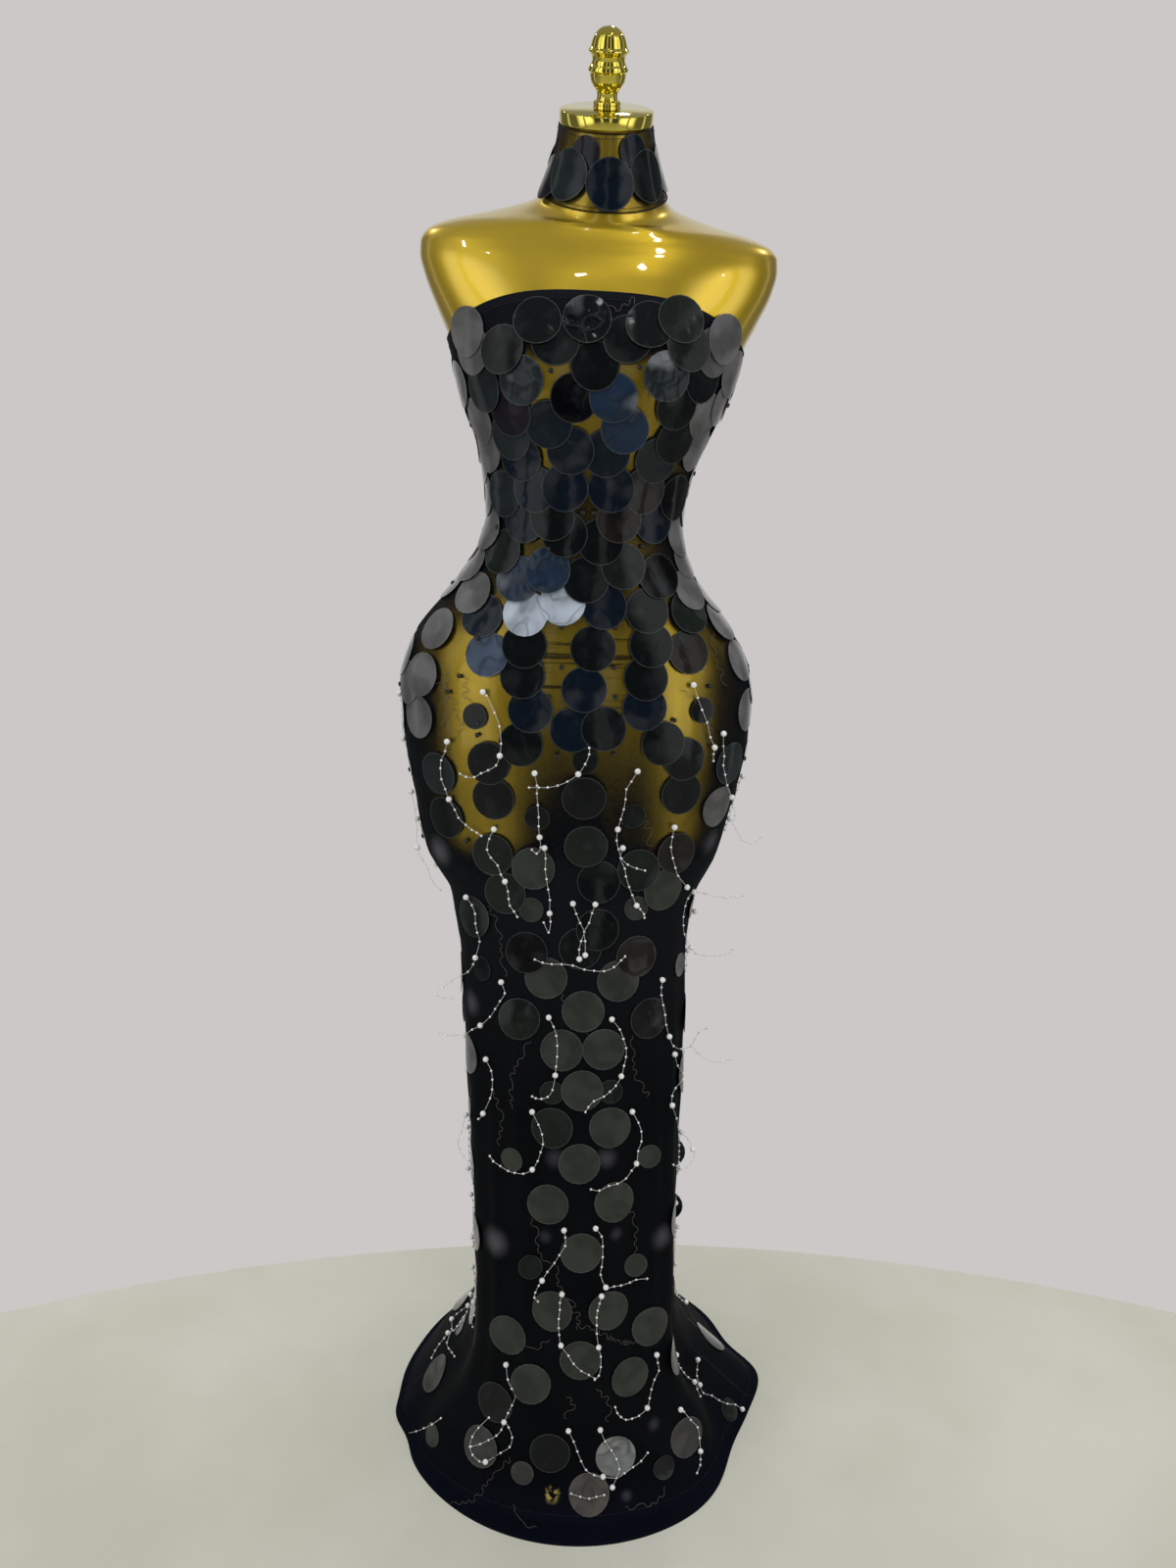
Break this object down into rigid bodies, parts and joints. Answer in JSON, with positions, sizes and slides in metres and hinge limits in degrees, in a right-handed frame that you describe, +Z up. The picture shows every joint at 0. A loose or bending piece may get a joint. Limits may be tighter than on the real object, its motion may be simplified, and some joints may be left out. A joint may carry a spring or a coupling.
{
  "type": "strapless evening gown with neck band on a limbless dress form and stand",
  "caption": "Floor-length hourglass evening gown with a flared hem and matching neck band, on a limbless dress form with a neck cap, finial and floor stand.",
  "frame": {"origin": "on the floor, at the middle of the footprint of the hem", "axes": "+Z up, the front of the gown faces -Y, +X is to the right of someone who looks at its front"},
  "size_m": [0.5162, 0.515, 1.7171],
  "materials": {
    "black_mesh": "sheer black stretch mesh",
    "gold_paint": "glossy gold lacquer",
    "polished_brass": "mirror polished, gold coloured"
  },
  "bodies": {
    "root": {"gown_front": "black_mesh", "gown_back": "black_mesh", "choker": "black_mesh", "dress_form": "gold_paint", "neck_cap": "polished_brass", "finial": "polished_brass", "stand_pole": "polished_brass", "stand_hub": "polished_brass", "leg_1": "polished_brass", "leg_2": "polished_brass", "leg_3": "polished_brass", "foot_1": "polished_brass", "foot_2": "polished_brass", "foot_3": "polished_brass"}
  },
  "joints": []
}
